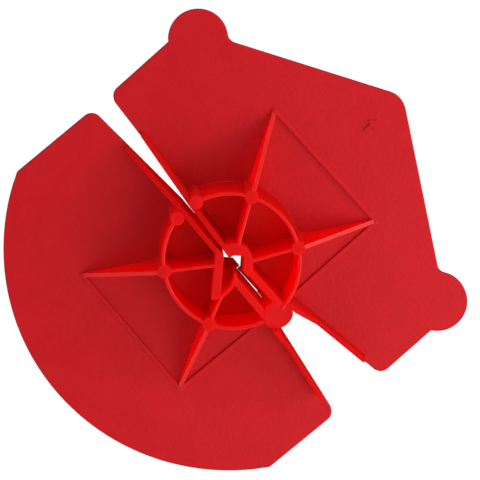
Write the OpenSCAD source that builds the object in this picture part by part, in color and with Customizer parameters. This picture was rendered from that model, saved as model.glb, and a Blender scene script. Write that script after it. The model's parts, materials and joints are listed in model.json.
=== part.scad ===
// Moulded retaining clip for cavity-wall tie wires.
// A roof-shaped upper half and a round lower half meet at a ribbed hub. Squeezing the pinch gap on
// the right turns the lower half about the hinge post and opens the mouth on the left.
// Millimetres, +Z up. The back face is Z = 0 and the ribs stand on the +Z side.

/* [Plates] */
// Half of the width across the straight sides
half_width = 40; // [36:0.5:44]
// Thickness of both plates
plate_t = 1.6; // [1.2:0.1:2.4]
// Height of the roof lines' crossing above the tie
roof_peak = 47.6; // [45:0.2:50]
// Slope of the roof lines
roof_slope = 30.1; // [28:0.1:32]
// Radius that rounds the roof peak
peak_round = 4.5; // [2:0.5:8]
// Radius of the two round ears
ear_r = 6.06; // [5:0.1:7]
// Ear centre, in from the straight side
ear_in = 3.54; // [3:0.1:4.5]
// Ear centre above the tie
ear_up = 24.76; // [24:0.1:26]
// Radius of the fillet between each ear and the roof
ear_fillet = 2; // [1:0.2:3]
// Radius of the round lower edge
disc_r = 46.14; // [44:0.1:48]
// Radius of the four corners at mouth and gap
corner_r = 2.2; // [1:0.2:3]

/* [Mouth and gap] */
// Upper edge above the tie axis
upper_edge_y = 0.51; // [0.4:0.05:0.8]
// Slope of the upper mouth edge
upper_mouth_slope = 4.87; // [4:0.1:6]
// Slope of the upper gap edge
upper_gap_slope = 8.03; // [7:0.1:9]
// Lower edge below the lower half's own axis, at the mouth
lower_mouth_y = -0.05; // [-0.2:0.05:0.2]
// Slope of the lower mouth edge
lower_mouth_slope = 4.61; // [4:0.1:6]
// Lower edge below the lower half's own axis, at the gap
lower_gap_y = 0.134; // [0:0.05:0.4]
// Slope of the lower gap edge
lower_gap_slope = 7.91; // [7:0.1:9]
// Turn of the lower half at rest, towards the upper half
rest_turn = 2.17; // [1.5:0.1:2.4]
// Lift of the lower half at rest
rest_lift = 1.02; // [0.8:0.02:1.04]
// Shift of the lower half at rest, along the slot
rest_shift = 0.02; // [0:0.01:0.04]

/* [Hub] */
// Height of the hub walls above the back face
hub_h = 12.8; // [10:0.2:16]
// Radius of the ring wall's middle line
ring_r = 14.1; // [13.5:0.1:14.8]
// Thickness of the ring wall
ring_w = 1.1; // [0.8:0.1:1.6]
// Radius of the ejector posts on the ring
post_r = 1.4; // [1.2:0.1:1.8]
// Angle of the spokes and gussets from the slot line
spoke_angle = 60; // [56:1:64]
// Angle of the mouth posts from the slot line
mouth_post_angle = 13.3; // [12:0.1:15]
// Angle at which the lower ring ends beside the hinge
lower_ring_end = 8; // [6:1:10]

/* [Ribs] */
// Thickness of spokes and gussets
rib_w = 1; // [0.8:0.1:1.4]
// Crossing of the spokes' middle lines, from the tie towards the hinge
spoke_cross = 0.95; // [0.6:0.05:1.2]
// Start of the spokes from that crossing, inside the jaws
spoke_start = 2; // [1.6:0.1:2.4]
// Distance of the gusset tips from the tie
gusset_reach = 30.45; // [28:0.5:33]
// Height of a gusset at its tip above the plate
gusset_tip_h = 0.4; // [0.2:0.1:1]
// Thickness of the ribs along mouth and gap
edge_rib_w = 1; // [0.8:0.1:1.3]
// Distance of the mouth ribs' outer ends from the tie
mouth_rib_reach = 30; // [26:0.5:33]
// Height of the mouth ribs at their outer ends above the plate
mouth_rib_h = 1.4; // [0.6:0.2:3]
// Distance of the gap ribs' outer ends from the straight side
gap_rib_inset = 4.9; // [4:0.1:10]
// Height of the gap ribs above the plate
gap_rib_h = 3.6; // [2:0.2:5]
// Distance from the tie at which the gap ribs reach full height
gap_ramp_top = 16.5; // [16:0.1:17.5]
// Distance from the tie at which the gap ribs become level
gap_ramp_foot = 22.7; // [21:0.1:25]
// Width of the raised beads between gusset tips
bead_w = 0.8; // [0.6:0.1:1.2]
// Distance of the beads' middle lines past the gusset tips, across and along the slot
bead_past = [0.25, 0.05];
// Height of the raised beads above the plate
bead_h = 0.4; // [0.3:0.1:0.8]

/* [Jaws] */
// Notch point in the upper jaw, along the slot
notch_x = 0.85; // [0.6:0.05:1]
// Notch point in the upper jaw, above the tie axis
notch_y = 3.1; // [2.8:0.05:3.2]
// Tip of the tooth between mouth and notch, along the slot from the tie
tooth_x = 0.9; // [0.8:0.05:1.1]
// Width of the tooth's steep face, along the slot
tooth_w = 0.28; // [0.2:0.02:0.4]
// Radius of the round upper jaw
upper_jaw_r = 4; // [3.8:0.1:4.4]
// Centre of the upper jaw, along both axes
upper_jaw_c = 0.5; // [0.4:0.1:0.6]
// Depth of the notch's right end below the inner face of the upper hinge arm
notch_drop = 0.2; // [0.1:0.05:0.3]
// Notch point in the lower jaw, below its own axis
lower_notch_y = 2.8; // [2.6:0.05:3]
// Thickness of the slanted finger of the lower jaw
finger_w = 1.75; // [1.4:0.05:2]
// Radius of the round back of the lower jaw
lower_jaw_r = 5.2; // [5:0.1:5.4]
// Thickness of the round back of the lower jaw
lower_jaw_wall = 0.6; // [0.5:0.1:0.9]
// Centre of the round back of the lower jaw, in the lower half's own axes
lower_jaw_c = [-0.6, -5.4];
// Foot and top of the pocket's climbing floor, along the finger
pocket_floor = [2.4, 7.7];
// Depth of the pocket at the top of its floor
pocket_end_depth = 1; // [0.6:0.1:2]
// Inner face of the lower mouth wall, below its own axis
lower_wall_y = 1.1; // [1:0.05:1.2]
// Step from the lower mouth wall up to the tongue beside the jaw
tongue_step = 0.08; // [0.04:0.02:0.12]
// Clearance between the tongue's end and the slit
tongue_gap = 0.3; // [0.2:0.1:0.5]

/* [Hinge] */
// Hinge axis, along the slot from the tie
hinge_x = 14.7; // [14.4:0.1:15]
// Hinge axis, across the slot from the tie
hinge_y = -0.1; // [-0.2:0.05:0]
// Radius of the hinge post
hinge_r = 3.1; // [2.9:0.1:3.3]
// Slope cut on the gap side of the hinge post
hinge_slope = 52; // [45:1:60]
// Start of that slope past the hinge axis
hinge_flat = 0.5; // [0.2:0.1:1]
// Inner and outer faces of the upper hinge arm
upper_arm = [1, 2.45];
// Inner and outer faces of the lower hinge arm, below its own axis
lower_arm = [1.8, 3.3];
// Edge of the upper plate under the slit between the arms
slit_y = -0.8; // [-0.85:0.05:-0.6]
// Start of the slit between the arms
slit_x = 4; // [3.8:0.1:4.6]
// End of the slit, where the upper plate reaches down to the lower one
slit_end = 10.2; // [9.4:0.1:11]
// Clearance between the two plates from there to the hinge
web_gap = 0.15; // [0.1:0.05:0.25]
// Running clearance between hinge post and lower half
hinge_gap = 0.1; // [0.05:0.05:0.2]

/* [Arrow] */
// Centre of the raised arrow below the roof lines' crossing
arrow_drop = 8.8; // [7.6:0.2:11.6]
// Length of the raised arrow
arrow_l = 3.4; // [2.4:0.2:5]
// Height of the raised arrow above the plate
arrow_h = 0.3; // [0.2:0.1:0.6]
// Width across the arrow's head
arrow_w = 2.4; // [1.6:0.2:3]
// Length of the arrow's head
arrow_head = 1.5; // [1:0.1:2]
// Width of the arrow's stem
arrow_stem = 0.7; // [0.4:0.1:1]

/* [Hidden] */
$fn = 96;
plastic = [0.75, 0.12, 0.14];
wall_h = hub_h - plate_t;
ring_in = ring_r - ring_w / 2;
ring_out = ring_r + ring_w / 2;
ear_x = half_width - ear_in;
gap_rib_reach = half_width - gap_rib_inset;
upper_mouth = tan(upper_mouth_slope);
upper_gap = tan(upper_gap_slope);
lower_mouth = tan(lower_mouth_slope);
lower_gap = tan(lower_gap_slope);
roof_side_y = roof_peak - half_width * tan(roof_slope);
roof_along = [cos(roof_slope), -sin(roof_slope)];
roof_out = [sin(roof_slope), cos(roof_slope)];
fillet_out = roof_peak * cos(roof_slope) + ear_fillet;
fillet_along = [ear_x, ear_up] * roof_along
    - sqrt(pow(ear_r + ear_fillet, 2) - pow([ear_x, ear_up] * roof_out - fillet_out, 2));
fillet_c = fillet_along * roof_along + fillet_out * roof_out;
notch_left = -tooth_x;
notch_left_y = upper_edge_y - upper_mouth * notch_left;
tooth_root = [notch_left + tooth_w, notch_y - notch_x + notch_left + tooth_w];
notch_right = notch_x + notch_y - upper_arm[0] + notch_drop;
notch_right_y = notch_y - (notch_right - notch_x);
tongue_y = tongue_step - lower_wall_y;
tongue_x = lower_notch_y + tongue_y;
tongue_end = slit_x - tongue_gap;
web_y = rest_lift + web_gap - lower_arm[0] / cos(rest_turn) - (slit_end - rest_shift) * tan(rest_turn);
finger_out = lower_notch_y + finger_w * sqrt(2);
arrow_y = roof_peak - arrow_drop;
bead_x = gusset_reach * cos(spoke_angle) + bead_past[0];
bead_y = gusset_reach * sin(spoke_angle) + bead_past[1];

// Points of a rounded corner at b between the lines to a and c
function corner(a, b, c, r, n = 6) =
    let (u = (a - b) / norm(a - b), v = (c - b) / norm(c - b))
    let (half = acos(u * v) / 2, m = (u + v) / norm(u + v))
    let (o = b + m * r / sin(half), s = b + u * r / tan(half), e = b + v * r / tan(half))
    let (p = s - o, q = e - o)
    let (turn = atan2(p[0] * q[1] - p[1] * q[0], p * q))
    [for (i = [0 : n]) let (w = turn * i / n)
        o + [p[0] * cos(w) - p[1] * sin(w), p[0] * sin(w) + p[1] * cos(w)]];

function upper_mouth_at(x) = upper_edge_y - upper_mouth * x;
function upper_gap_at(x) = upper_edge_y + upper_gap * x;
function lower_mouth_at(x) = -lower_mouth_y + lower_mouth * x;
function lower_gap_at(x) = -lower_gap_y - lower_gap * x;

// Stands a profile of length and height on edge, with its thickness along +Y
module upright(thickness, points) {
    translate([0, thickness, 0])
        rotate([90, 0, 0])
            linear_extrude(height = thickness)
                polygon(points);
}

// Moves the lower half from its own axes to its place at rest
module at_rest() {
    translate([rest_shift, rest_lift, 0])
        rotate([0, 0, -rest_turn])
            children();
}

module hinge_round(clearance = 0) {
    translate([hinge_x, hinge_y, -1])
        cylinder(r = hinge_r + clearance, h = hub_h + 2);
}

module post_round(angle) {
    translate([ring_r * cos(angle), ring_r * sin(angle), plate_t])
        cylinder(r = post_r, h = wall_h);
}

module post_cut(angle) {
    translate([ring_r * cos(angle), ring_r * sin(angle), 0])
        cylinder(r = post_r, h = hub_h + 1);
}

module ring_wall(from, to) {
    translate([0, 0, plate_t])
        rotate([0, 0, from])
            rotate_extrude(angle = to - from)
                translate([ring_in, 0])
                    square([ring_w, wall_h]);
}

// Rib from the spokes' crossing to the post at an angle on the ring
module spoke(angle) {
    run = [ring_r * cos(angle) - spoke_cross, ring_r * sin(angle)];
    translate([spoke_cross, 0, plate_t])
        rotate([0, 0, atan2(run[1], run[0])])
            translate([spoke_start, -rib_w / 2, 0])
                cube([norm(run) - spoke_start, rib_w, wall_h]);
}

module gusset(angle) {
    rotate([0, 0, angle])
        translate([0, -rib_w / 2, 0])
            upright(rib_w, [
                [ring_r, plate_t],
                [gusset_reach, plate_t],
                [gusset_reach, plate_t + gusset_tip_h],
                [ring_r + post_r, hub_h],
                [ring_r, hub_h]
            ]);
}

// Side view of the mouth ribs: a ramp up to the ring, then level to the jaws
module mouth_rib_side() {
    translate([0, -half_width, 0])
        upright(2 * half_width, [
            [-mouth_rib_reach, plate_t],
            [0, plate_t],
            [0, hub_h],
            [-ring_r, hub_h],
            [-mouth_rib_reach, plate_t + mouth_rib_h]
        ]);
}

module gap_rib_profile() {
    upright(edge_rib_w, [
        [ring_r, plate_t],
        [gap_rib_reach, plate_t],
        [gap_rib_reach, plate_t + gap_rib_h],
        [gap_ramp_foot, plate_t + gap_rib_h],
        [gap_ramp_top, hub_h],
        [ring_r, hub_h]
    ]);
}

module upper_outline() {
    left = [-half_width, upper_mouth_at(-half_width)];
    right = [half_width, upper_gap_at(half_width)];
    peak = [0, roof_peak];
    eave_l = [-half_width, roof_side_y];
    eave_r = [half_width, roof_side_y];
    notch_l = [notch_left, notch_left_y];
    hinge_top = [hinge_x, upper_gap_at(hinge_x)];
    union() {
        polygon(concat(
            corner(eave_l, left, notch_l, corner_r),
            [notch_l, tooth_root, [notch_x, notch_y], [slit_x, notch_x + notch_y - slit_x]],
            [[slit_x, slit_y], [slit_end, slit_y], [slit_end, web_y], [hinge_x, web_y], hinge_top],
            corner(hinge_top, right, eave_r, corner_r),
            [eave_r],
            corner(eave_r, peak, eave_l, peak_round),
            [eave_l]
        ));
        upper_ear();
        mirror([1, 0])
            upper_ear();
    }
}

// Right ear with the fillet that runs it into the roof
module upper_ear() {
    translate([ear_x, ear_up])
        circle(r = ear_r);
    difference() {
        polygon([
            fillet_c,
            fillet_c - (ear_fillet + plate_t) * roof_out,
            [ear_x, ear_up]
        ]);
        translate(fillet_c)
            circle(r = ear_fillet);
    }
}

module upper_jaw_outline() {
    intersection() {
        translate([upper_jaw_c, upper_jaw_c])
            circle(r = upper_jaw_r);
        polygon([
            [-upper_jaw_r * 2, upper_mouth_at(-upper_jaw_r * 2)],
            [notch_left, notch_left_y],
            tooth_root,
            [notch_x, notch_y],
            [notch_right, notch_right_y],
            [upper_jaw_r * 2, notch_right_y],
            [upper_jaw_r * 2, upper_jaw_r * 2],
            [-upper_jaw_r * 2, upper_jaw_r * 2]
        ]);
    }
}

// Plan of the upper mouth rib, as far as the jaw's notch
module upper_mouth_plan() {
    far = -mouth_rib_reach;
    polygon([
        [far, upper_mouth_at(far)],
        [notch_left, notch_left_y],
        [notch_left, notch_left_y + edge_rib_w],
        [far, upper_mouth_at(far) + edge_rib_w]
    ]);
}

module lower_outline() {
    left = [-half_width, lower_mouth_at(-half_width)];
    right = [half_width, lower_gap_at(half_width)];
    low_l = [-half_width, -disc_r];
    low_r = [half_width, -disc_r];
    wall_start = [(lower_mouth_y - lower_wall_y) / lower_mouth, -lower_wall_y];
    hinge_low = [hinge_x, lower_gap_at(hinge_x)];
    intersection() {
        circle(r = disc_r);
        polygon(concat(
            corner(wall_start, left, low_l, corner_r),
            [low_l, low_r],
            corner(low_r, right, hinge_low, corner_r),
            [hinge_low, [hinge_x, -lower_arm[0]]],
            [[tongue_end, -lower_arm[0]], [tongue_end, tongue_y], [tongue_x, tongue_y]],
            [[0, -lower_notch_y], [lower_wall_y - lower_notch_y, -lower_wall_y]],
            [wall_start]
        ));
    }
}

module lower_jaw_outline() {
    reach = lower_jaw_r * 2;
    intersection() {
        translate(lower_jaw_c)
            circle(r = lower_jaw_r);
        polygon([
            [lower_wall_y - finger_out, -lower_wall_y],
            [reach - finger_out, -reach],
            [reach, -reach],
            [reach, tongue_y],
            [tongue_x, tongue_y],
            [0, -lower_notch_y],
            [lower_wall_y - lower_notch_y, -lower_wall_y]
        ]);
    }
}

// Plan of the lower mouth rib, as far as the jaw's notch
module lower_mouth_plan() {
    far = -mouth_rib_reach;
    bend = (lower_mouth_y - lower_wall_y) / lower_mouth;
    near = lower_wall_y - lower_notch_y;
    polygon([
        [far, lower_mouth_at(far)],
        [far, lower_mouth_at(far) - edge_rib_w],
        [bend, -lower_wall_y - edge_rib_w],
        [near, -lower_wall_y - edge_rib_w],
        [near, -lower_wall_y],
        [bend, -lower_wall_y]
    ]);
}

// Open pocket of the lower jaw, with a floor that climbs to the closed end
module lower_pocket() {
    reach = lower_jaw_r * 2;
    intersection() {
        translate([0, 0, plate_t])
            linear_extrude(height = wall_h + 1)
                intersection() {
                    translate(lower_jaw_c)
                        circle(r = lower_jaw_r - lower_jaw_wall);
                    polygon([
                        [lower_wall_y - lower_notch_y, -lower_wall_y + 1],
                        [lower_wall_y - lower_notch_y, -lower_wall_y],
                        [reach - lower_notch_y, -reach],
                        [reach, -reach],
                        [reach, -lower_wall_y + 1]
                    ]);
                }
        rotate([0, 0, -45])
            translate([0, -reach, 0])
                upright(2 * reach, [
                    [-reach, plate_t],
                    [pocket_floor[0], plate_t],
                    [pocket_floor[1], hub_h - pocket_end_depth],
                    [reach, hub_h - pocket_end_depth],
                    [reach, hub_h + 2],
                    [-reach, hub_h + 2]
                ]);
    }
}

// Upper half

module upper_plate() {
    color(plastic)
        difference() {
            linear_extrude(height = plate_t)
                upper_outline();
            hinge_round();
        }
}

module upper_mouth_rib() {
    color(plastic)
        intersection() {
            linear_extrude(height = hub_h + 1)
                difference() {
                    upper_mouth_plan();
                    translate([upper_jaw_c, upper_jaw_c])
                        circle(r = upper_jaw_r);
                }
            mouth_rib_side();
        }
}

module upper_gap_rib() {
    color(plastic)
        difference() {
            translate([0, upper_edge_y, 0])
                rotate([0, 0, upper_gap_slope])
                    gap_rib_profile();
            hinge_round();
            cylinder(r = ring_out, h = hub_h + 1);
        }
}

module upper_jaw() {
    color(plastic)
        translate([0, 0, plate_t])
            linear_extrude(height = wall_h)
                upper_jaw_outline();
}

module upper_hinge_arm() {
    color(plastic)
        difference() {
            translate([notch_right, upper_arm[0], plate_t])
                cube([hinge_x - notch_right, upper_arm[1] - upper_arm[0], wall_h]);
            translate([upper_jaw_c, upper_jaw_c, 0])
                cylinder(r = upper_jaw_r, h = hub_h + 1);
            hinge_round();
        }
}

module upper_ring_left() {
    color(plastic)
        difference() {
            ring_wall(180 - spoke_angle, 180 - mouth_post_angle);
            post_cut(180 - spoke_angle);
            post_cut(180 - mouth_post_angle);
        }
}

module upper_ring_middle() {
    color(plastic)
        difference() {
            ring_wall(spoke_angle, 180 - spoke_angle);
            post_cut(spoke_angle);
            post_cut(180 - spoke_angle);
        }
}

module upper_ring_right() {
    color(plastic)
        difference() {
            ring_wall(0, spoke_angle);
            post_cut(spoke_angle);
            hinge_round();
        }
}

module upper_spoke(angle) {
    difference() {
        spoke(angle);
        translate([upper_jaw_c, upper_jaw_c, 0])
            cylinder(r = upper_jaw_r, h = hub_h + 1);
        post_cut(angle);
    }
}

module upper_spoke_left() {
    color(plastic)
        upper_spoke(180 - spoke_angle);
}

module upper_spoke_right() {
    color(plastic)
        upper_spoke(spoke_angle);
}

module upper_gusset_left() {
    color(plastic)
        difference() {
            gusset(180 - spoke_angle);
            post_cut(180 - spoke_angle);
            upper_level_bar(0, hub_h);
        }
}

module upper_gusset_right() {
    color(plastic)
        difference() {
            gusset(spoke_angle);
            post_cut(spoke_angle);
            upper_level_bar(0, hub_h);
            upper_side_bar(0, hub_h);
        }
}

module upper_post_left() {
    color(plastic)
        post_round(180 - spoke_angle);
}

module upper_post_right() {
    color(plastic)
        post_round(spoke_angle);
}

module upper_post_mouth() {
    color(plastic)
        difference() {
            post_round(180 - mouth_post_angle);
            linear_extrude(height = hub_h + 1)
                upper_mouth_plan();
        }
}

module upper_level_bar(bottom, top) {
    translate([-bead_x - bead_w / 2, bead_y - bead_w / 2, bottom])
        cube([2 * bead_x + bead_w, bead_w, top - bottom]);
}

module upper_side_bar(bottom, top) {
    translate([bead_x - bead_w / 2, 0, bottom])
        cube([bead_w, bead_y - bead_w / 2, top - bottom]);
}

module upper_bead_level() {
    color(plastic)
        upper_level_bar(plate_t, plate_t + bead_h);
}

module upper_bead_side() {
    color(plastic)
        difference() {
            upper_side_bar(plate_t, plate_t + bead_h);
            translate([0, upper_edge_y + edge_rib_w / cos(upper_gap_slope), 0])
                rotate([0, 0, upper_gap_slope])
                    translate([0, -half_width, 0])
                        cube([half_width, half_width, hub_h]);
        }
}

module up_arrow() {
    color(plastic)
        translate([0, arrow_y, plate_t])
            linear_extrude(height = arrow_h)
                polygon([
                    [-arrow_stem / 2, -arrow_l / 2],
                    [arrow_stem / 2, -arrow_l / 2],
                    [arrow_stem / 2, arrow_l / 2 - arrow_head],
                    [arrow_w / 2, arrow_l / 2 - arrow_head],
                    [0, arrow_l / 2],
                    [-arrow_w / 2, arrow_l / 2 - arrow_head],
                    [-arrow_stem / 2, arrow_l / 2 - arrow_head]
                ]);
}

module hinge_post() {
    color(plastic)
        difference() {
            translate([hinge_x, hinge_y, 0])
                cylinder(r = hinge_r, h = hub_h);
            translate([hinge_x + hinge_flat, hinge_y - 2 * hinge_r, hub_h])
                rotate([0, hinge_slope, 0])
                    cube([6 * hinge_r, 4 * hinge_r, 4 * hinge_r]);
        }
}

// Lower half

module lower_plate() {
    color(plastic)
        difference() {
            at_rest()
                linear_extrude(height = plate_t)
                    lower_outline();
            hinge_round(hinge_gap);
        }
}

module lower_mouth_rib() {
    color(plastic)
        at_rest()
            intersection() {
                linear_extrude(height = hub_h + 1)
                    difference() {
                        lower_mouth_plan();
                        lower_jaw_outline();
                    }
                mouth_rib_side();
            }
}

module lower_gap_rib() {
    color(plastic)
        difference() {
            at_rest()
                difference() {
                    translate([0, -lower_gap_y, 0])
                        rotate([0, 0, -lower_gap_slope])
                            translate([0, -edge_rib_w, 0])
                                gap_rib_profile();
                    cylinder(r = ring_out, h = hub_h + 1);
                }
            hinge_round(hinge_gap);
        }
}

module lower_jaw() {
    color(plastic)
        at_rest()
            difference() {
                translate([0, 0, plate_t])
                    linear_extrude(height = wall_h)
                        lower_jaw_outline();
                lower_pocket();
            }
}

module lower_hinge_arm() {
    color(plastic)
        difference() {
            at_rest()
                difference() {
                    translate([0, -lower_arm[1], plate_t])
                        cube([hinge_x, lower_arm[1] - lower_arm[0], wall_h]);
                    translate([lower_jaw_c[0], lower_jaw_c[1], 0])
                        cylinder(r = lower_jaw_r, h = hub_h + 1);
                }
            hinge_round(hinge_gap);
        }
}

module lower_ring_left() {
    color(plastic)
        at_rest()
            difference() {
                ring_wall(180 + mouth_post_angle, 180 + spoke_angle);
                post_cut(180 + spoke_angle);
                post_cut(180 + mouth_post_angle);
            }
}

module lower_ring_middle() {
    color(plastic)
        at_rest()
            difference() {
                ring_wall(180 + spoke_angle, 360 - spoke_angle);
                post_cut(180 + spoke_angle);
                post_cut(-spoke_angle);
            }
}

module lower_ring_right() {
    color(plastic)
        difference() {
            at_rest()
                difference() {
                    ring_wall(-spoke_angle, -lower_ring_end);
                    post_cut(-spoke_angle);
                }
            hinge_round(hinge_gap);
        }
}

module lower_spoke(angle) {
    at_rest()
        difference() {
            spoke(angle);
            translate([0, 0, plate_t - 1])
                linear_extrude(height = wall_h + 2)
                    polygon([
                        [-finger_out - half_width, half_width],
                        [half_width - finger_out, -half_width],
                        [half_width, -half_width],
                        [half_width, half_width]
                    ]);
            post_cut(angle);
        }
}

module lower_spoke_left() {
    color(plastic)
        lower_spoke(180 + spoke_angle);
}

module lower_spoke_right() {
    color(plastic)
        at_rest()
            difference() {
                spoke(-spoke_angle);
                translate([lower_jaw_c[0], lower_jaw_c[1], 0])
                    cylinder(r = lower_jaw_r, h = hub_h + 1);
                post_cut(-spoke_angle);
            }
}

module lower_gusset_left() {
    color(plastic)
        at_rest()
            difference() {
                gusset(180 + spoke_angle);
                post_cut(180 + spoke_angle);
                lower_level_bar(0, hub_h);
            }
}

module lower_gusset_right() {
    color(plastic)
        at_rest()
            difference() {
                gusset(-spoke_angle);
                post_cut(-spoke_angle);
                lower_level_bar(0, hub_h);
                lower_side_bar(0, hub_h);
            }
}

module lower_post_left() {
    color(plastic)
        at_rest()
            post_round(180 + spoke_angle);
}

module lower_post_right() {
    color(plastic)
        at_rest()
            post_round(-spoke_angle);
}

module lower_post_mouth() {
    color(plastic)
        at_rest()
            difference() {
                post_round(180 + mouth_post_angle);
                linear_extrude(height = hub_h + 1)
                    lower_mouth_plan();
            }
}

module lower_level_bar(bottom, top) {
    translate([-bead_x - bead_w / 2, -bead_y - bead_w / 2, bottom])
        cube([2 * bead_x + bead_w, bead_w, top - bottom]);
}

module lower_side_bar(bottom, top) {
    translate([bead_x - bead_w / 2, -bead_y + bead_w / 2, bottom])
        cube([bead_w, bead_y - bead_w / 2, top - bottom]);
}

module lower_bead_level() {
    color(plastic)
        at_rest()
            lower_level_bar(plate_t, plate_t + bead_h);
}

module lower_bead_side() {
    color(plastic)
        difference() {
            at_rest()
                difference() {
                    lower_side_bar(plate_t, plate_t + bead_h);
                    translate([0, -lower_gap_y - edge_rib_w / cos(lower_gap_slope), 0])
                        rotate([0, 0, -lower_gap_slope])
                            cube([half_width, half_width, hub_h]);
                }
            hinge_round(hinge_gap);
        }
}

upper_plate();
upper_mouth_rib();
upper_gap_rib();
upper_jaw();
upper_hinge_arm();
upper_ring_left();
upper_ring_middle();
upper_ring_right();
upper_spoke_left();
upper_spoke_right();
upper_gusset_left();
upper_gusset_right();
upper_post_left();
upper_post_right();
upper_post_mouth();
upper_bead_level();
upper_bead_side();
up_arrow();
hinge_post();
lower_plate();
lower_mouth_rib();
lower_gap_rib();
lower_jaw();
lower_hinge_arm();
lower_ring_left();
lower_ring_middle();
lower_ring_right();
lower_spoke_left();
lower_spoke_right();
lower_gusset_left();
lower_gusset_right();
lower_post_left();
lower_post_right();
lower_post_mouth();
lower_bead_level();
lower_bead_side();
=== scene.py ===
"""Looks of a moulded retaining clip for cavity-wall ties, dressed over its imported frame."""
import json
import math

import bmesh
import bpy
from mathutils import Matrix, Vector


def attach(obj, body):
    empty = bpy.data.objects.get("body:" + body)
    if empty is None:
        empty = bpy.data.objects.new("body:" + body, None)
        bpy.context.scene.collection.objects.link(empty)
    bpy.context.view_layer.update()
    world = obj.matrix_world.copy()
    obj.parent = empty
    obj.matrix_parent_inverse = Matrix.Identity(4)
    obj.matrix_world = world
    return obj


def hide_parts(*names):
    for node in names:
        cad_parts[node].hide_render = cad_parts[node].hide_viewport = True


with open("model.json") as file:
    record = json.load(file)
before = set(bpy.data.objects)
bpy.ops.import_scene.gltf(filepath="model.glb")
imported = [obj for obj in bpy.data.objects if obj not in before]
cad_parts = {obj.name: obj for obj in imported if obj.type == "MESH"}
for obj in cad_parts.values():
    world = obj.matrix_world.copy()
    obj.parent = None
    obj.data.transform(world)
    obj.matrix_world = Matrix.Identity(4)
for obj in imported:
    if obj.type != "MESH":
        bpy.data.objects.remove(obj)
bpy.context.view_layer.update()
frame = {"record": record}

# Camera
# A long lens looks at the clip from a metre away, almost from above, with the roof of the upper plate
# turned to the picture's upper right.
camera_azimuth = 240.68
camera_elevation = 78.55
camera_roll = 167.24
camera_distance = 1.0132
camera_aim = Vector((-0.0001, 0.0035, 0.0008))
lens_mm = 375
sensor_mm = 36
camera_turn = (
    Matrix.Rotation(math.radians(camera_azimuth), 4, "Z")
    @ Matrix.Rotation(math.radians(90 - camera_elevation), 4, "X")
    @ Matrix.Rotation(math.radians(camera_roll), 4, "Z")
)
camera = bpy.data.objects.new("camera", bpy.data.cameras.new("camera"))
camera.data.lens = lens_mm
camera.data.sensor_width = sensor_mm
camera.matrix_world = (
    Matrix.Translation(camera_aim) @ camera_turn @ Matrix.Translation((0, 0, camera_distance))
)
bpy.context.scene.collection.objects.link(camera)
bpy.context.scene.camera = camera

# Upper plate
# Roof-shaped flange with two round ears, moulded in red polypropylene. The tool face was spark
# eroded, so the plate is satin with a faint even grain. A small radius breaks its rim.
MM = 0.001
plate_top = 1.6
rim = 0.22
under_rim = 0.08

# Each half is drawn in its own axes, in millimetres, and seated in the frame, in metres.
lower_turn = -2.17
lower_shift = (0.02, 1.02, 0)
seat = {
    "upper_half": Matrix.Scale(MM, 4),
    "lower_half": Matrix.Scale(MM, 4)
    @ Matrix.Translation(lower_shift)
    @ Matrix.Rotation(math.radians(lower_turn), 4, "Z"),
}


def linear(colour):
    """Linear RGBA of an sRGB hex colour."""
    shares = [int(colour[i : i + 2], 16) / 255 for i in (1, 3, 5)]
    return [c / 12.92 if c <= 0.04045 else ((c + 0.055) / 1.055) ** 2.4 for c in shares] + [1]


def add(tree, kind, inputs, **settings):
    """Adds a node with its settings. An input is a value, or the output that is linked to it."""
    node = tree.nodes.new(kind)
    for name, value in settings.items():
        setattr(node, name, value)
    for socket, value in inputs.items():
        if isinstance(value, bpy.types.NodeSocket):
            tree.links.new(value, node.inputs[socket])
        else:
            node.inputs[socket].default_value = value
    return node


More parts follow.
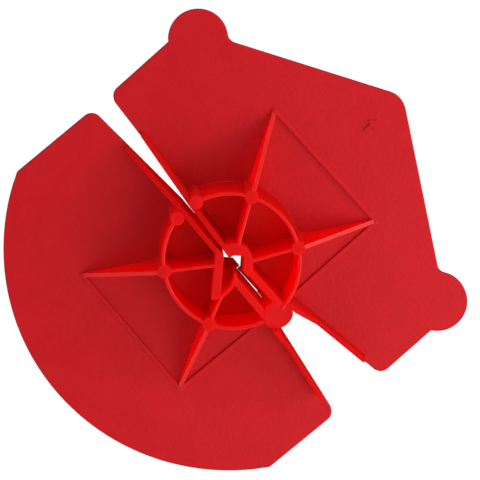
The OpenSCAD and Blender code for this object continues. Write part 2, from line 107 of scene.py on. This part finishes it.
def polypropylene(name, shade, light, roughness, specular, grain_mm, grain_depth_mm, milky=0, coat=0):
    """Red polypropylene, with faint mottling where the melt flowed and a grain from the tool.

    The milky share lets light through, so that thin walls glow. It mirrors nothing, and a thin coat of
    a high IOR gives back the gloss that it takes away."""
    mottle_mm = 5
    gloss_spread = 0.05
    solid_ior = 1.49
    coat_ior = 2.2
    material = bpy.data.materials.new(name)
    material.use_nodes = True
    tree = material.node_tree
    tree.nodes.clear()
    place = add(tree, "ShaderNodeTexCoord", {}).outputs["Object"]
    mottle = add(
        tree, "ShaderNodeTexNoise",
        {"Vector": place, "Scale": 1 / (mottle_mm * MM), "Detail": 3, "Roughness": 0.6},
    )
    grain = add(
        tree, "ShaderNodeTexNoise",
        {"Vector": place, "Scale": 1 / (grain_mm * MM), "Detail": 2, "Roughness": 0.5},
    )
    blend = add(
        tree, "ShaderNodeMath", {0: mottle.outputs["Fac"], 1: grain.outputs["Fac"]},
        operation="MULTIPLY",
    )
    share = add(
        tree, "ShaderNodeMapRange",
        {"Value": blend.outputs[0], "From Min": 0.12, "From Max": 0.4},
    )
    colour = add(
        tree, "ShaderNodeMix",
        {0: share.outputs[0], 6: linear(shade), 7: linear(light)},
        data_type="RGBA",
    )
    gloss = add(
        tree, "ShaderNodeMapRange",
        {"Value": mottle.outputs["Fac"], "From Min": 0.3, "From Max": 0.7,
         "To Min": roughness - gloss_spread, "To Max": roughness + gloss_spread},
    )
    bump = add(
        tree, "ShaderNodeBump",
        {"Height": grain.outputs["Fac"], "Strength": 1, "Distance": grain_depth_mm * MM},
    )
    skin = add(
        tree, "ShaderNodeBsdfPrincipled",
        {"Base Color": colour.outputs[2], "Roughness": gloss.outputs[0], "Normal": bump.outputs[0],
         "IOR": solid_ior, "Specular IOR Level": specular,
         "Coat Weight": coat, "Coat Roughness": roughness, "Coat IOR": coat_ior},
    )
    surface = skin.outputs[0]
    if milky:
        milk = add(
            tree, "ShaderNodeBsdfTranslucent", {"Color": colour.outputs[2], "Normal": bump.outputs[0]}
        )
        mixed = add(tree, "ShaderNodeMixShader", {0: milky, 1: surface, 2: milk.outputs[0]})
        surface = mixed.outputs[0]
    add(tree, "ShaderNodeOutputMaterial", {"Surface": surface})
    return material


# Spark-eroded polypropylene scatters the light softly, and its grain shows as a fine mottle. The
# real grain is about 0.1 mm; it is drawn at 0.7 mm so that it shows at all.
eroded_red = polypropylene(
    "polypropylene_spark_eroded", "#ca0212", "#d30314",
    roughness=0.52, specular=0.3, grain_mm=0.7, grain_depth_mm=0.04,
)

# Painted light: inside the ring the plates' floor is painted the purer, lighter red of the walls. It
# stands in for the glow that the walls throw onto the wells' floor. A place is in a well where it lies
# within the rings of both halves.
ring_radius = 14.1
painted_glow_red = "#f00204"
painted_glow_edge = 0.2
plate_tree = eroded_red.node_tree
plate_skin = plate_tree.nodes["Principled BSDF"]
plate_place = plate_tree.nodes["Texture Coordinate"].outputs["Object"]
from_upper = add(plate_tree, "ShaderNodeVectorMath", {0: plate_place}, operation="LENGTH")
from_lower = add(
    plate_tree, "ShaderNodeVectorMath", {0: plate_place, 1: Vector(lower_shift) * MM},
    operation="DISTANCE",
)
from_centre = add(
    plate_tree, "ShaderNodeMath", {0: from_upper.outputs["Value"], 1: from_lower.outputs["Value"]},
    operation="MAXIMUM",
)
in_painted_glow = add(
    plate_tree, "ShaderNodeMapRange",
    {"Value": from_centre.outputs[0], "From Min": (ring_radius + painted_glow_edge) * MM,
     "From Max": (ring_radius - painted_glow_edge) * MM},
)
# Painted light: the floor's red is mixed towards the lighter glow red inside the wells.
painted_glow_floor = add(
    plate_tree, "ShaderNodeMix",
    {0: in_painted_glow.outputs[0], 6: plate_skin.inputs["Base Color"].links[0].from_socket,
     7: linear(painted_glow_red)},
    data_type="RGBA",
)
plate_tree.links.new(painted_glow_floor.outputs[2], plate_skin.inputs["Base Color"])


def arc(centre, radius, start, end, count):
    """Points along an arc between two angles in degrees."""
    angles = [math.radians(start + (end - start) * i / count) for i in range(count + 1)]
    return [Vector(centre) + radius * Vector((math.cos(a), math.sin(a))) for a in angles]


def rounded(before, at, after, radius, count=8):
    """Points of a rounded corner between the lines to the points before and after it."""
    before, at, after = Vector(before), Vector(at), Vector(after)
    u = (before - at).normalized()
    v = (after - at).normalized()
    half = u.angle(v) / 2
    centre = at + (u + v).normalized() * radius / math.sin(half)
    start = at + u * radius / math.tan(half) - centre
    end = at + v * radius / math.tan(half) - centre
    turn = math.atan2(start.cross(end), start.dot(end))
    return [centre + Matrix.Rotation(turn * i / count, 2) @ start for i in range(count + 1)]


def offset(outline, out):
    """Anticlockwise outline moved outwards along its mitred corners, short of a full mitre at spikes."""
    least_mitre = 0.4
    moved = []
    for before, at, after in zip(outline[-1:] + outline[:-1], outline, outline[1:] + outline[:1]):
        u = (at - before).normalized()
        v = (after - at).normalized()
        along = (u + v).normalized()
        mitre = max(along.dot(u), least_mitre)
        moved.append(at + Vector((along.y, -along.x)) * out / mitre)
    return moved


def slab(outline, profile):
    """Rings of an upright solid: the profile gives each ring's height and how far it stands out."""
    return [[(p.x, p.y, height) for p in offset(outline, out)] for height, out in profile]


def edge(height, radius, top=True, count=4):
    """Profile of a rounded edge that ends, or with top false starts, at a height."""
    turns = [math.pi / 2 * i / count for i in range(count + 1)]
    steps = [(radius * (1 - math.sin(t)), radius * (math.cos(t) - 1)) for t in turns]
    return [(height - s, o) for s, o in steps] if top else [(height + s, o) for s, o in steps[::-1]]


def mould(node, shells, finish):
    """Makes the piece that stands for a node: a closed mesh lofted through each shell's rings."""
    crease = math.radians(38)
    body = "upper_half" if node in frame["record"]["behaviour"]["bodies"]["upper_half"] else "lower_half"
    build = bmesh.new()
    for rings in shells:
        loops = [[build.verts.new(seat[body] @ Vector(p)) for p in ring] for ring in rings]
        for low, high in zip(loops, loops[1:]):
            for i in range(len(low)):
                build.faces.new((low[i - 1], low[i], high[i], high[i - 1]))
        build.faces.new(loops[0])
        build.faces.new(loops[-1])
    bmesh.ops.recalc_face_normals(build, faces=build.faces)
    for face in build.faces:
        face.smooth = True
    mesh = bpy.data.meshes.new(node + "_moulded")
    build.to_mesh(mesh)
    build.free()
    mesh.set_sharp_from_angle(angle=crease)
    mesh.materials.append(finish)
    piece = bpy.data.objects.new(node + "_moulded", mesh)
    bpy.context.scene.collection.objects.link(piece)
    piece.modifiers.new("even_shading", "WEIGHTED_NORMAL").keep_sharp = True
    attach(piece, body)
    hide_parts(node)
    return piece


half_width = 40
roof_peak = 47.6
roof_slope = math.radians(30.1)
peak_radius = 4.5
ear_centre = Vector((36.46, 24.76))
ear_radius = 6.06
ear_fillet = 2
corner_radius = 2.2
upper_edge_start = 0.51
upper_mouth_slope = math.tan(math.radians(4.87))
upper_gap_slope = math.tan(math.radians(8.03))
notch_point = Vector((0.85, 3.1))
notch_fillet = 0.5
tooth_reach = -0.9
tooth_back = -0.62
slit_start = 4
slit_end = 10.2
slit_edge = -0.8
web_edge = -1.017
hinge_centre = Vector((14.7, -0.1))


def upper_mouth(x):
    """Height of the upper mouth edge at a distance along the slot."""
    return upper_edge_start - upper_mouth_slope * x


def upper_gap(x):
    """Height of the upper pinch-gap edge at a distance along the slot."""
    return upper_edge_start + upper_gap_slope * x


roof_along = Vector((math.cos(roof_slope), -math.sin(roof_slope)))
roof_out = Vector((math.sin(roof_slope), math.cos(roof_slope)))
fillet_out = roof_peak * math.cos(roof_slope) + ear_fillet
fillet_back = math.sqrt((ear_radius + ear_fillet) ** 2 - (ear_centre.dot(roof_out) - fillet_out) ** 2)
fillet_centre = roof_along * (ear_centre.dot(roof_along) - fillet_back) + roof_out * fillet_out
ear_low = math.degrees(-math.acos((half_width - ear_centre.x) / ear_radius))
ear_high = math.degrees(math.atan2(*(fillet_centre - ear_centre).yx))
right_ear = arc(ear_centre, ear_radius, ear_low, ear_high, 28) + arc(
    fillet_centre, ear_fillet, ear_high - 180, -90 - math.degrees(roof_slope), 6
)
left_ear = [Vector((-p.x, p.y)) for p in right_ear[::-1]]
notch_left = Vector((tooth_reach, upper_mouth(tooth_reach)))
tooth_root = Vector((tooth_back, notch_point.y - notch_point.x + tooth_back))
slit_top = Vector((slit_start, notch_point.x + notch_point.y - slit_start))
upper_left = Vector((-half_width, upper_mouth(-half_width)))
upper_right = Vector((half_width, upper_gap(half_width)))
hinge_top = Vector((hinge_centre.x, upper_gap(hinge_centre.x)))
upper_outline = [
    *rounded(left_ear[-1], upper_left, notch_left, corner_radius),
    notch_left,
    tooth_root,
    *rounded(tooth_root, notch_point, slit_top, notch_fillet),
    slit_top,
    Vector((slit_start, slit_edge)),
    Vector((slit_end, slit_edge)),
    Vector((slit_end, web_edge)),
    Vector((hinge_centre.x, web_edge)),
    hinge_top,
    *rounded(hinge_top, upper_right, right_ear[0], corner_radius),
    *right_ear,
    *rounded(right_ear[-1], (0, roof_peak), left_ear[0], peak_radius),
    *left_ear,
]
plate_profile = edge(0, under_rim, top=False) + edge(plate_top, rim)
mould("upper_plate", [slab(upper_outline, plate_profile)], eroded_red)

# Lower plate
# Round flange of the other half, moulded in the same shot and with the same finish. Its edge runs up
# to the hinge, with a step and a square notch at the tie.
disc_radius = 46.14
disc_corner = 1.2
lower_mouth_start = 0.05
lower_mouth_slope = math.tan(math.radians(4.61))
lower_gap_start = -0.134
lower_gap_slope = math.tan(math.radians(7.91))
mouth_wall = -1.1
lower_arm_face = -1.8
tongue_edge = -1.02
tongue_end = slit_start - 0.3
lower_notch = -2.8
hinge_seat = 3.12
own_hinge = (seat["lower_half"].inverted() @ (hinge_centre.to_3d() * MM)).xy


def lower_mouth(x):
    """Height of the lower mouth edge in the lower half's own axes."""
    return lower_mouth_start + lower_mouth_slope * x


def lower_gap(x):
    """Height of the lower pinch-gap edge in the lower half's own axes."""
    return lower_gap_start - lower_gap_slope * x


disc_meets_side = math.degrees(math.acos(half_width / disc_radius))
lower_left = Vector((-half_width, lower_mouth(-half_width)))
lower_right = Vector((half_width, lower_gap(half_width)))
mouth_bend = Vector(((mouth_wall - lower_mouth_start) / lower_mouth_slope, mouth_wall))
hinge_from = -38
hinge_to = -180 + math.degrees(math.asin((own_hinge.y - lower_arm_face) / hinge_seat))
disc_edge = arc((0, 0), disc_radius, 180 + disc_meets_side, 360 - disc_meets_side, 96)
hinge_edge = arc(own_hinge, hinge_seat, hinge_from, hinge_to, 16)
lower_outline = [
    *rounded(mouth_bend, lower_left, disc_edge[0], corner_radius),
    *rounded(lower_left, disc_edge[0], disc_edge[2], disc_corner, 4),
    *disc_edge[3:-3],
    *rounded(disc_edge[-3], disc_edge[-1], lower_right, disc_corner, 4),
    *rounded(disc_edge[-1], lower_right, hinge_edge[0], corner_radius),
    *hinge_edge,
    Vector((tongue_end, lower_arm_face)),
    Vector((tongue_end, tongue_edge)),
    Vector((tongue_edge - lower_notch, tongue_edge)),
    Vector((0, lower_notch)),
    Vector((lower_notch - mouth_wall, mouth_wall)),
    mouth_bend,
]
mould("lower_plate", [slab(lower_outline, plate_profile)], eroded_red)

# Ribs along the mouth
# A wall on each edge of the slot guides the tie in: a ramp outside the ring, full height inside. The
# ribs are moulded with the plates, against the blade in the tool that forms the slot.
rib_thick = 1
wall_top = 12.6
flush = 0.3
mouth_reach = -30
mouth_low_top = plate_top + 1.4
upper_slot_end = -2.6
lower_slot_end = -2.2
slot_side = (flush, 0)
plate_side = (plate_top - 0.2, 0.6)
slot_crest = {"crown": 0.12, "draft": 0.03, "noses": (0.4, 0)}

# The blades that form the slot and the pinch gap were stoned along their length, which leaves the ribs
# beside them dull. Their red is painted a shade deeper than the hub's: painted shade, for ribs that
# stand beside the dark openings. Stoning marks are finer than 0.1 mm; they are drawn at 0.9 mm so
# that they show.
slot_shaded_red = polypropylene(
    "polypropylene_stoned_blade_painted_shade", "#f30204", "#f70305",
    roughness=0.72, specular=0.7, grain_mm=0.9, grain_depth_mm=0.004, milky=0.8,
)


def wall(path, tops, thick, feet, crown=0.28, draft=0.18, noses=(0, 0), skews=(0, 0)):
    """Rings along a rib: flared feet, given as height and flare for each side, and a round crest.

    The draft narrows the crest on each side. A nose rounds off an end over its length, and a skew
    slants an end's face."""
    least_nose = 0.1
    least_foot = 0.2
    points = [Vector(p) for p in path]
    tops = tops if isinstance(tops, (list, tuple)) else [tops] * len(points)
    turns = [math.pi / 2 * i / 4 for i in range(5)]
    stations = [(p, top, 1, 0) for p, top in zip(points, tops)]
    stations[0] = (points[0], tops[0], 1, skews[0])
    stations[-1] = (points[-1], tops[-1], 1, skews[1])
    if noses[0]:
        inward = (points[1] - points[0]).normalized() * noses[0]
        stations[:1] = [
            (points[0] + inward * (1 - math.cos(t)), tops[0], max(math.sin(t), least_nose), 0)
            for t in turns
        ]
    if noses[1]:
        inward = (points[-2] - points[-1]).normalized() * noses[1]
        stations[-1:] = [
            (points[-1] + inward * (1 - math.cos(t)), tops[-1], max(math.sin(t), least_nose), 0)
            for t in turns[::-1]
        ]
    rings = []
    for i, (at, top, width, skew) in enumerate(stations):
        ahead = stations[min(i + 1, len(stations) - 1)][0] - at
        behind = at - stations[max(i - 1, 0)][0]
        along = (ahead.normalized() + behind.normalized()).normalized()
        across = Vector((-along.y, along.x))
        half = thick / 2 * width
        crest = min(crown, half - draft * width)
        peak = top - crown * (1 - width)
        sides = []
        for height, flare in feet:
            flare = min(flare, (top - height) / 3)
            rise = max(flare, least_foot)
            sides.append(
                [(half + flare * width * (1 - math.sin(t)), height + rise * (1 - math.cos(t)))
                 for t in turns]
                + [(half - draft * width - crest * (1 - math.cos(t)), peak - crest * (1 - math.sin(t)))
                   for t in turns]
            )
        section = sides[0] + [(-s, z) for s, z in sides[1][::-1]]
        rings.append([(*(at + across * s + along * skew * s), z) for s, z in section])
    return rings


def along_edge(edge_height, xs, side):
    """Points beside an edge line, half a rib's thickness to one side of it."""
    points = [Vector((x, edge_height(x))) for x in xs]
    direction = (points[-1] - points[0]).normalized()
    return [p + Vector((-direction.y, direction.x)) * side * rib_thick / 2 for p in points]


mouth_tops = [mouth_low_top, wall_top, wall_top]
upper_mouth_path = along_edge(upper_mouth, (mouth_reach, -ring_radius, upper_slot_end), 1)
mould(
    "upper_mouth_rib",
    [wall(upper_mouth_path, mouth_tops, rib_thick, (plate_side, slot_side), **slot_crest)],
    slot_shaded_red,
)
lower_mouth_path = along_edge(lower_mouth, (mouth_reach, mouth_bend.x), -1)
lower_mouth_path.append(Vector((lower_slot_end, mouth_wall - rib_thick / 2)))
mould(
    "lower_mouth_rib",
    [wall(lower_mouth_path, mouth_tops, rib_thick, (slot_side, plate_side), **slot_crest)],
    slot_shaded_red,
)

# Ribs along the pinch gap
# Low walls stiffen the two edges that finger and thumb squeeze together. They are moulded with the
# plates and have the finish of the mouth's ribs, with its painted shade. Each climbs steeply where it
# joins the hinge.
gap_rib_end = half_width - 4.9
gap_rib_top = plate_top + 3.6
ramp_end = 22.7
upper_gap_xs = (ring_radius, 16.5, ramp_end, gap_rib_end)
lower_gap_xs = (16.85, 16.95, ramp_end, gap_rib_end)
lower_gap_skew = 0.95
gap_tops = [wall_top, wall_top, gap_rib_top, gap_rib_top]
gap_crest = {"draft": 0.06, "noses": (0, 0.25)}
upper_gap_path = along_edge(upper_gap, upper_gap_xs, 1)
mould(
    "upper_gap_rib",
    [wall(upper_gap_path, gap_tops, rib_thick, (plate_side, slot_side), **gap_crest)],
    slot_shaded_red,
)
lower_gap_path = along_edge(lower_gap, lower_gap_xs, -1)
mould(
    "lower_gap_rib",
    [wall(
        lower_gap_path, gap_tops, rib_thick, (slot_side, plate_side), skews=(lower_gap_skew, 0),
        **gap_crest,
    )],
    slot_shaded_red,
)

# Upper jaw
# Round boss with a square notch, one half of the hole that grips the tie. It is moulded with the upper
# plate, in solid plastic to the top.
jaw_top = 12.7
jaw_rim = 0.22
upper_jaw_centre = Vector((0.5, 0.5))
upper_jaw_radius = 4
jaw_meets_mouth = -3.5
upper_arm_face = 1
notch_drop = notch_point.y - upper_arm_face + 0.2

# The jaws, the hinge and the pin faces came off ground steel that left them dull, so that they mirror
# nothing at a slant. Grinding marks are finer than 0.1 mm; they are drawn at 0.9 mm so that they show.
dull_red = polypropylene(
    "polypropylene_ground_steel", "#fd0204", "#ff0305",
    roughness=0.75, specular=1, grain_mm=0.9, grain_depth_mm=0.004, milky=0.8,
)

notch_right = notch_point + Vector((notch_drop, -notch_drop))
jaw_profile = [(flush, 0), (flush + 1, 0), *edge(jaw_top, jaw_rim)]
jaw_right = math.degrees(math.asin((notch_right.y - upper_jaw_centre.y) / upper_jaw_radius))
jaw_left = 180 - math.degrees(
    math.asin((upper_mouth(jaw_meets_mouth) - upper_jaw_centre.y) / upper_jaw_radius)
)
upper_jaw_outline = [
    *arc(upper_jaw_centre, upper_jaw_radius, jaw_right, jaw_left, 40),
    notch_left,
    tooth_root,
    *rounded(tooth_root, notch_point, notch_right, notch_fillet),
    notch_right,
]
mould("upper_jaw", [slab(upper_jaw_outline, jaw_profile)], dull_red)

# Lower jaw
# A slanted finger faces the notch, moulded with the lower plate. It springs a little when a tie is
# pushed in. A thin round wall backs it, around a pocket whose floor climbs to the closed end.
finger_thick = 1.75
lower_jaw_centre = Vector((-0.6, -5.4))
lower_jaw_radius = 5.2
back_thick = 0.6
back_end = 52
finger_along = Vector((1, -1)).normalized()
finger_across = Vector((1, 1)).normalized()
finger_face = lower_notch / math.sqrt(2)
finger_back = finger_face - finger_thick
back_inside = lower_jaw_radius - back_thick
foot = plate_top - 0.05
pocket_low = 2.4
pocket_high = 7.7
pocket_start = plate_top + 0.1
pocket_climb = jaw_top - 1.1 - plate_top
seam = 0.01


def on_finger(along, across):
    """Point by its distances along the finger and across it, from the tie."""
    return finger_along * along + finger_across * across


def jaw_end(across, radius):
    """Distance along the finger at which a line across meets a circle about the jaw's centre."""
    centre_along = lower_jaw_centre.dot(finger_along)
    centre_across = lower_jaw_centre.dot(finger_across)
    return centre_along + math.sqrt(radius**2 - (across - centre_across) ** 2)


def jaw_angle(across, radius):
    """Angle about the jaw's centre at which a line across the finger meets a circle."""
    return math.degrees(math.atan2(*(on_finger(jaw_end(across, radius), across) - lower_jaw_centre).yx))


def pocket_ring(along):
    """Section of the pocket's floor across the finger, whose climb eases off to the closed end."""
    radius = back_inside - seam
    near = on_finger(along, finger_face + seam)
    reach = math.sqrt(radius**2 - (along - lower_jaw_centre.dot(finger_along)) ** 2)
    far = on_finger(along, lower_jaw_centre.dot(finger_across) + reach)
    climb = math.sqrt((along - pocket_low) / (pocket_high - pocket_low))
    height = pocket_start + pocket_climb * climb
    return [(*near, foot), (*far, foot), (*far, height), (*near, height)]


jaw_hook = [
    Vector((lower_notch - mouth_wall, mouth_wall)),
    Vector((finger_back * math.sqrt(2) - mouth_wall, mouth_wall)),
    *arc(lower_jaw_centre, lower_jaw_radius, jaw_angle(finger_back, lower_jaw_radius), back_end, 12),
    *arc(lower_jaw_centre, back_inside, back_end, jaw_angle(finger_face, back_inside), 10),
]
pocket_end = jaw_end(finger_face + seam, back_inside - seam) - 0.05
pocket_rings = [pocket_ring(pocket_low + (pocket_end - pocket_low) * (i / 8) ** 2) for i in range(9)]
mould("lower_jaw", [slab(jaw_hook, jaw_profile), pocket_rings], dull_red)

# Hinge arms
# Two straight walls, moulded with the jaws, tie them to the hinge. The slit between the walls lets the
# lower half turn.
upper_arm_thick = 1.45
lower_arm_thick = 1.5
arm_start = 3.2
upper_arm_end = 13
lower_arm_end = 12.53
lower_arm_skew = -0.91
upper_arm_y = upper_arm_face + upper_arm_thick / 2
lower_arm_y = lower_arm_face - lower_arm_thick / 2
slit_side = (foot, 0.15)
arm_crest = {"crown": 0.2, "draft": 0.03}
upper_arm_path = [(arm_start, upper_arm_y), (upper_arm_end, upper_arm_y)]
mould(
    "upper_hinge_arm",
    [wall(upper_arm_path, wall_top, upper_arm_thick, (plate_side, slit_side), **arm_crest)],
    dull_red,
)
lower_arm_path = [(arm_start, lower_arm_y), (lower_arm_end, lower_arm_y)]
mould(
    "lower_hinge_arm",
    [wall(
        lower_arm_path, wall_top, lower_arm_thick, (slot_side, plate_side), skews=(0, lower_arm_skew),
        **arm_crest,
    )],
    dull_red,
)

# Hinge post
# Thick round block of the same plastic, moulded with the upper plate, that the two halves turn about.
# Its top is flat on the ring side and runs down in a smooth slope to the pinch gap.
hinge_radius = 3.1
hinge_top_height = 12.75
hinge_rim = 0.3
hinge_shank = 8
hinge_slope = math.tan(math.radians(52))
hinge_slope_start = hinge_centre.x + 0.5
hinge_ease = 1.4
top_reach = hinge_radius - 0.5
top_steps = 14


def circle(centre, radius, count):
    """Points of a whole circle."""
    return arc(centre, radius, 0, 360 - 360 / count, count - 1)


def hinge_roof(p):
    """Height of the block's top: level, easing into the slope."""
    past = (p.x - hinge_slope_start) / hinge_ease
    return hinge_top_height - hinge_slope * hinge_ease * math.log1p(math.exp(past))


hinge_profile = [
    (0, -rim),
    *edge(0, rim, top=False)[1:],
    (plate_top, 0),
    (hinge_shank, 0),
    *[(hinge_top_height - hinge_rim * (1 - math.sin(t)), -hinge_rim * (1 - math.cos(t)))
      for t in (0, 0.4, 0.8, 1.2, 1.57)],
    *[(hinge_top_height, -hinge_rim - top_reach * i / top_steps) for i in range(1, top_steps + 1)],
]


def hinge_ring(height, out):
    """Ring of the block: above the shank it stays under the slope, by its own drop from the top."""
    ring = offset(circle(hinge_centre, hinge_radius, 72), out)
    if height <= hinge_shank:
        return [(p.x, p.y, height) for p in ring]
    drop = hinge_top_height - height
    return [(p.x, p.y, min(height, hinge_roof(p) - drop)) for p in ring]


mould("hinge_post", [[hinge_ring(height, out) for height, out in hinge_profile]], dull_red)

# Ring wall
# Six curved walls make a ring about the tie and brace the posts, the spokes and the gussets. Their
# grooves in the tool were cut with an end mill and left smooth, so they shine more than the plates.
ring_thick = 1.1
ring_spans = {
    "upper_ring_right": (6, 60),
    "upper_ring_middle": (60, 120),
    "upper_ring_left": (120, 166.7),
    "lower_ring_left": (193.3, 240),
    "lower_ring_middle": (240, 300),
    "lower_ring_right": (300, 345.6),
}

# Milled polypropylene has little grain to break up the light: crests and walls catch soft highlights.
# The cutter's marks are about 0.1 mm apart; they are drawn at 0.9 mm so that they show.
milled_red = polypropylene(
    "polypropylene_milled_mould", "#f80204", "#fc0305",
    roughness=0.39, specular=0.6, grain_mm=0.9, grain_depth_mm=0.002, milky=0.76, coat=0.4,
)

for node, (start, end) in ring_spans.items():
    path = arc((0, 0), ring_radius, start, end, 24)
    mould(node, [wall(path, wall_top, ring_thick, (plate_side, plate_side))], milled_red)

# Ejector posts
# Six round posts, moulded with the ring, take the ejector pins that push the clip out of its mould.
# Each pin leaves a flat, dull, slightly sunk face with a fine rim.
post_radius = 1.4
post_top = 12.8
post_angles = {
    "upper_post_right": 60,
    "upper_post_left": 120,
    "upper_post_mouth": 166.7,
    "lower_post_mouth": 193.3,
    "lower_post_left": 240,
    "lower_post_right": 300,
}
post_profile = [
    (foot, 0.4),
    (foot + 0.06, 0.22),
    (foot + 0.2, 0.08),
    (foot + 0.45, 0),
    (post_top - 0.2, -0.03),
    (post_top - 0.07, -0.06),
    (post_top, -0.14),
    (post_top, -0.22),
    (post_top - 0.05, -0.28),
    (post_top - 0.05, -1.1),
]


def ray(angle, distance):
    """Point at a distance from the ring's centre, in the direction of an angle in degrees."""
    return distance * Vector((math.cos(math.radians(angle)), math.sin(math.radians(angle))))


for node, angle in post_angles.items():
    mould(node, [slab(circle(ray(angle, ring_radius), post_radius, 48), post_profile)], dull_red)

# Spokes
# Four upright ribs, milled in the tool as the ring is, run from the jaws to the ring. Their middle
# lines cross beside the tie, towards the hinge.
spoke_cross = Vector((0.95, 0))
spoke_spans = {
    "upper_spoke_right": (60, 3.6),
    "upper_spoke_left": (120, 4),
    "lower_spoke_left": (240, 3.6),
    "lower_spoke_right": (300, 7.3),
}
for node, (angle, start) in spoke_spans.items():
    end = ray(angle, ring_radius)
    path = [spoke_cross + (end - spoke_cross).normalized() * start, end]
    mould(node, [wall(path, wall_top, rib_thick, (plate_side, plate_side))], milled_red)

# Gussets
# Sloping ribs brace the ring against the plates, from each post's top down to the plate. They are
# milled in the tool as the ring is, with a flat crest that catches the light.
gusset_reach = 30.75
gusset_tops = [wall_top, wall_top, plate_top + 0.4]
gusset_crest = {"crown": 0.12, "draft": 0.05, "noses": (0, 0.5)}
for node, angle in post_angles.items():
    if node.endswith("mouth"):
        continue
    path = [ray(angle, reach) for reach in (ring_radius, ring_radius + post_radius, gusset_reach)]
    mould(
        node.replace("post", "gusset"),
        [wall(path, gusset_tops, rib_thick, (plate_side, plate_side), **gusset_crest)],
        milled_red,
    )

# Beads
# Fine raised lines on the plates join the gussets' feet. They were cut into the tool's face before it
# was eroded, so they have the plates' finish.
bead_wide = 0.8
bead_top = plate_top + 0.4
bead_x = 15.475
bead_y = 26.42
bead_end = bead_x + 0.4
bead_clear = 0.9
bead_side = (foot, 0.1)
bead_crest = {"crown": 0.12, "draft": 0.05, "noses": (0.4, 0.4)}
bead_paths = {
    "upper_bead_level": [(-bead_end, bead_y), (bead_end, bead_y)],
    "upper_bead_side": [(bead_x, bead_y), (bead_x, upper_gap(bead_x) + bead_clear)],
    "lower_bead_level": [(-bead_end, -bead_y), (bead_end, -bead_y)],
    "lower_bead_side": [(bead_x, -bead_y), (bead_x, own_hinge.y - hinge_seat)],
}
for node, path in bead_paths.items():
    mould(node, [wall(path, bead_top, bead_wide, (bead_side, bead_side), **bead_crest)], eroded_red)

# Arrow
# A small raised arrow near the peak shows which way up the clip goes. It was cut into the tool's face
# and is moulded with the plate.
arrow_middle = 38.8
arrow_length = 3.4
arrow_head = 1.5
arrow_half = 1.2
arrow_stem = 0.35
arrow_top = plate_top + 0.3
arrow_rim = 0.1
arrow_tail = arrow_middle - arrow_length / 2
head_base = arrow_middle + arrow_length / 2 - arrow_head
arrow_outline = [
    Vector((-arrow_stem, arrow_tail)),
    Vector((arrow_stem, arrow_tail)),
    Vector((arrow_stem, head_base)),
    Vector((arrow_half, head_base)),
    Vector((0, head_base + arrow_head)),
    Vector((-arrow_half, head_base)),
    Vector((-arrow_stem, head_base)),
]
mould("up_arrow", [slab(arrow_outline, [(foot, 0), *edge(arrow_top, arrow_rim)])], eroded_red)

# Floor
# A plain white sheet that the clip lies on, wide enough to have no edge in view. It glows evenly of
# itself, as a sheet on a light table does, so that it holds hardly any shadow.
floor_half = 3
floor_z = -0.02 * MM
floor_mesh = bpy.data.meshes.new("paper_floor")
floor_mesh.from_pydata(
    [(-floor_half, -floor_half, floor_z), (floor_half, -floor_half, floor_z),
     (floor_half, floor_half, floor_z), (-floor_half, floor_half, floor_z)],
    [],
    [(0, 1, 2, 3)],
)
floor = bpy.data.objects.new("paper_floor", floor_mesh)
# Uncoated paper is matt. The glow gives most of its white, so that its own colour is a mid grey.
paper = bpy.data.materials.new("white_paper")
paper.use_nodes = True
paper_shader = paper.node_tree.nodes["Principled BSDF"]
paper_shader.inputs["Base Color"].default_value = linear("#707070")
paper_shader.inputs["Roughness"].default_value = 0.9
paper_shader.inputs["Specular IOR Level"].default_value = 0.1
paper_shader.inputs["Emission Color"].default_value = linear("#ffffff")
paper_shader.inputs["Emission Strength"].default_value = 0.95
floor_mesh.materials.append(paper)
bpy.context.scene.collection.objects.link(floor)
# The paper's own glow is kept off the clip, whose edges would lose their dark outline in it.
glow_takers = bpy.data.collections.new("paper_glow")
glow_takers.objects.link(floor)
floor.light_linking.receiver_collection = glow_takers

# Studio light
# A wide soft box stands on the side of the pinch gap, and a smaller one lower down beyond the upper
# plate's ear. A white tent is bright round the sides and dim overhead, so that walls glow and level
# faces stay deep.
soft_boxes = {
    "soft_box": (0.24, 0.47, Vector((0.22, 0.075, 0.25))),
    "rim_box": (0.14, 0.5, Vector((0.211, 0.366, 0.154))),
}
for name, (size, watts, stand) in soft_boxes.items():
    box = bpy.data.objects.new(name, bpy.data.lights.new(name, "AREA"))
    box.data.shape = "SQUARE"
    box.data.size = size
    box.data.energy = watts
    box.matrix_world = Matrix.Translation(stand) @ stand.to_track_quat("Z", "Y").to_matrix().to_4x4()
    bpy.context.scene.collection.objects.link(box)
tent_side_glow = 1.55
tent_top_glow = 0.26
tent = bpy.data.worlds.new("white_tent")
tent.use_nodes = True
tent.node_tree.nodes.clear()
towards = add(tent.node_tree, "ShaderNodeTexCoord", {}).outputs["Generated"]
height = add(tent.node_tree, "ShaderNodeSeparateXYZ", {0: towards}).outputs["Z"]
glow = add(
    tent.node_tree, "ShaderNodeMapRange",
    {"Value": height, "From Min": 0.25, "From Max": 0.75,
     "To Min": tent_side_glow, "To Max": tent_top_glow},
    interpolation_type="SMOOTHSTEP",
)
cloth = add(
    tent.node_tree, "ShaderNodeBackground", {"Color": linear("#ffffff"), "Strength": glow.outputs[0]}
)
add(tent.node_tree, "ShaderNodeOutputWorld", {"Surface": cloth.outputs[0]})
bpy.context.scene.world = tent
# The picture keeps plain sRGB tones, with no film curve that would dull the red.
bpy.context.scene.view_settings.view_transform = "Standard"

bpy.context.view_layer.update()
